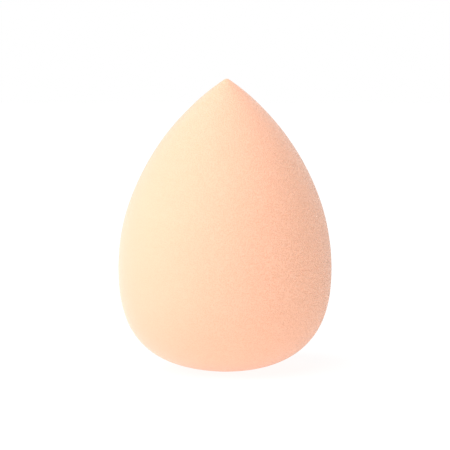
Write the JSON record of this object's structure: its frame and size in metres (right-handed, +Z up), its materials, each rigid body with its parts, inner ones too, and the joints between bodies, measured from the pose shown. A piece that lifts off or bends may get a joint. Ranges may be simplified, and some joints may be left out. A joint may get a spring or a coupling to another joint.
{
  "type": "makeup sponge",
  "caption": "Teardrop makeup sponge of soft peach foam, with a pointed tip for fine work, a full round belly for blending and a small flat foot that it stands on.",
  "frame": {"origin": "middle of the foot, the small flat underneath that the sponge stands on", "axes": "+Z up the sponge's axis to its tip; +X to the right and +Y away as the picture shows it, though the sponge is round, so both are free"},
  "size_m": [0.044, 0.044, 0.06],
  "materials": {
    "foam": "dry open-cell foam, fully matte"
  },
  "bodies": {
    "root": {"sponge_body": "foam"}
  },
  "joints": []
}
